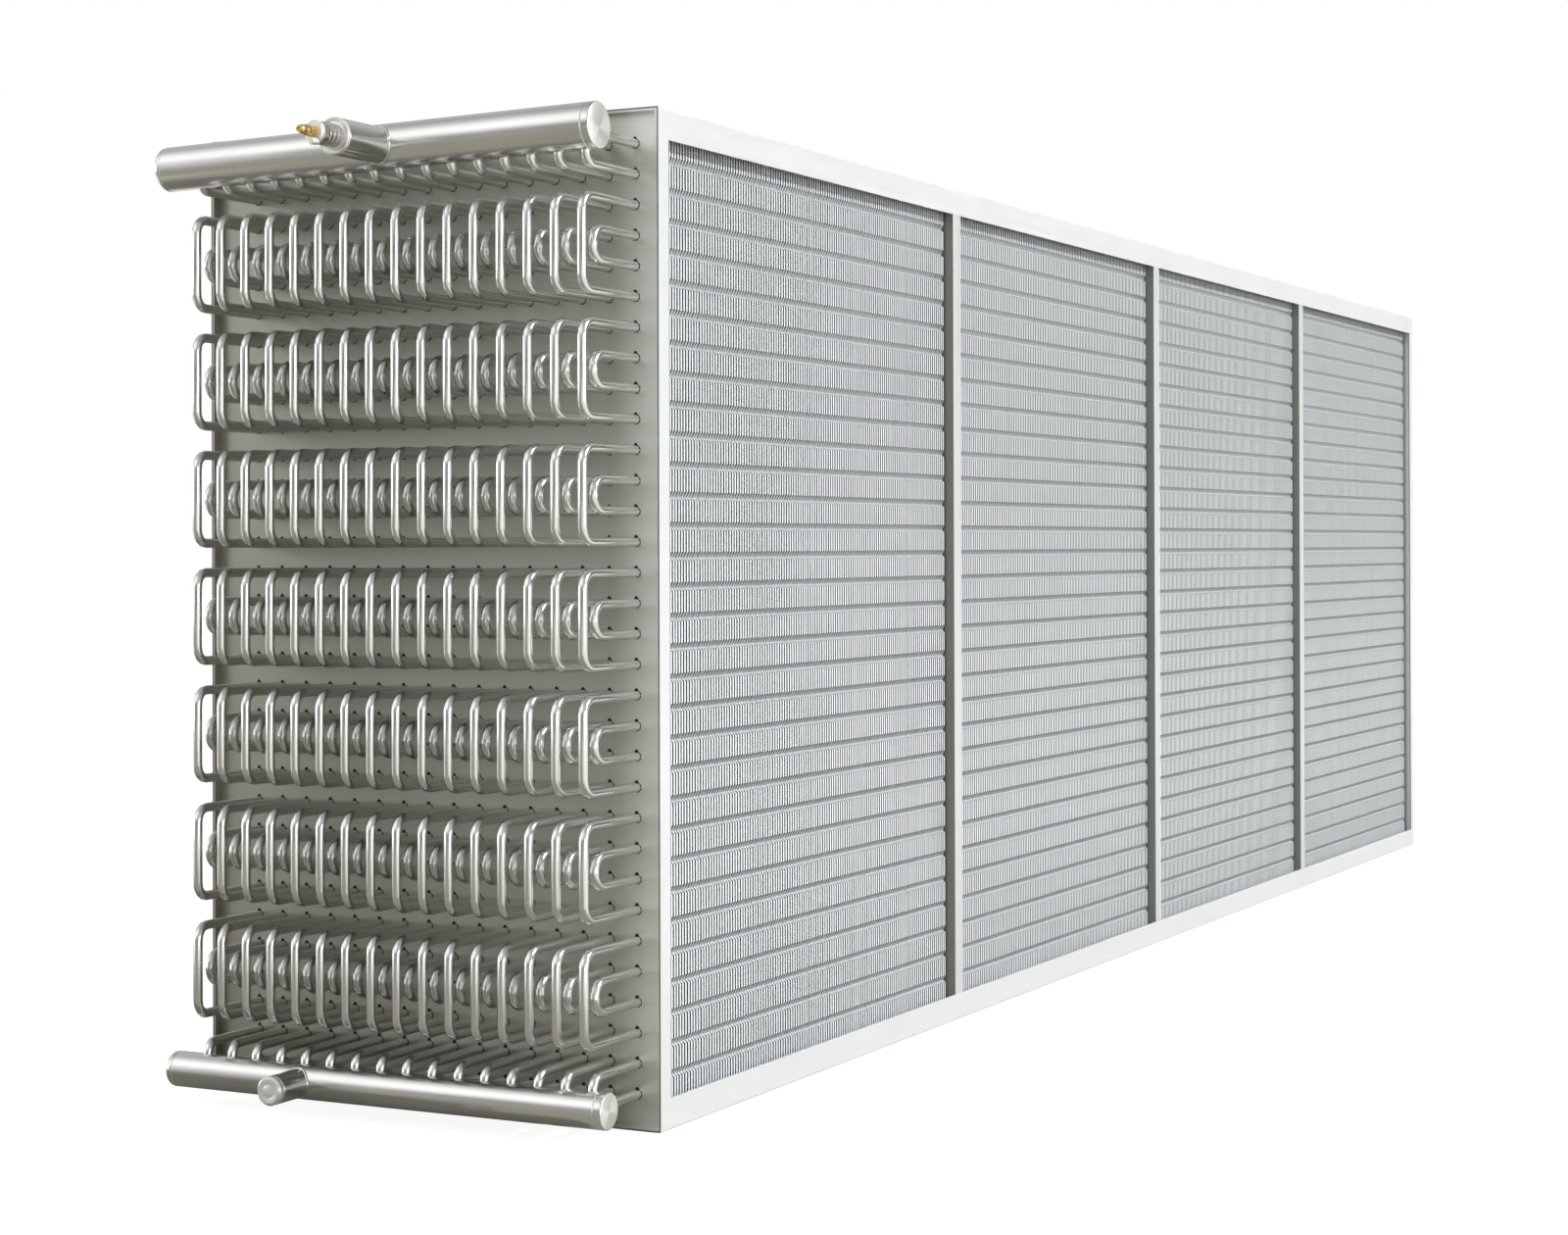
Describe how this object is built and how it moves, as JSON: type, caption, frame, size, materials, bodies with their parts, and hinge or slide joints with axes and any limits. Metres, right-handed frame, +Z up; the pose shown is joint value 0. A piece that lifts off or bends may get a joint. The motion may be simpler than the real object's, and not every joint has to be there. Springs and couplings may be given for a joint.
{
  "type": "finned tube evaporator coil",
  "caption": "Long slab evaporator coil: tubes in creased fins between tube sheets in a folded casing, with return bends and two headers at one end.",
  "frame": {"origin": "middle of the underside of the casing, which the coil stands on", "axes": "+X along the tubes from the header end to the far end, +Y with the air from the open front to the back, +Z up"},
  "size_m": [5.6717, 0.89, 1.662],
  "materials": {
    "casing": "pale brushed stainless sheet",
    "tube_sheet": "mill-finish stainless sheet",
    "fins": "bright rolled aluminium sheet",
    "tubes": "bright stainless tube",
    "header_pipe": "polished stainless pipe",
    "turned_caps": "turned stainless face",
    "valve_steel": "machined steel",
    "pale_collar": "pale machined ring",
    "brass": "machined brass"
  },
  "bodies": {
    "root": {"bottom_plate": "casing", "far_end_strips": "casing", "far_inner_bends": "tubes", "far_outer_bends": "tubes", "far_tube_sheet": "tube_sheet", "fin_pack_1": "fins", "fin_pack_2": "fins", "fin_pack_3": "fins", "fin_pack_4": "fins", "inner_bends_1": "tubes", "inner_bends_2": "tubes", "inner_bends_3": "tubes", "inner_bends_4": "tubes", "inner_bends_5": "tubes", "inner_bends_6": "tubes", "inner_bends_7": "tubes", "liquid_branch": "header_pipe", "liquid_branch_cap": "turned_caps", "liquid_elbow_stubs": "tubes", "liquid_header": "header_pipe", "liquid_header_caps": "turned_caps", "liquid_straight_stubs": "tubes", "near_end_strips": "casing", "near_tube_sheet": "tube_sheet", "outer_bends_1": "tubes", "outer_bends_2": "tubes", "outer_bends_3": "tubes", "outer_bends_4": "tubes", "outer_bends_5": "tubes", "outer_bends_6": "tubes", "outer_bends_7": "tubes", "suction_branch": "header_pipe", "suction_branch_plate": "turned_caps", "suction_elbow_stubs": "tubes", "suction_header": "header_pipe", "suction_header_caps": "turned_caps", "suction_straight_stubs": "tubes", "support_plate_1": "casing", "support_plate_2": "casing", "support_plate_3": "casing", "top_plate": "casing", "valve_collar": "pale_collar", "valve_core": "brass", "valve_nut": "valve_steel", "valve_socket": "valve_steel"}
  },
  "joints": []
}
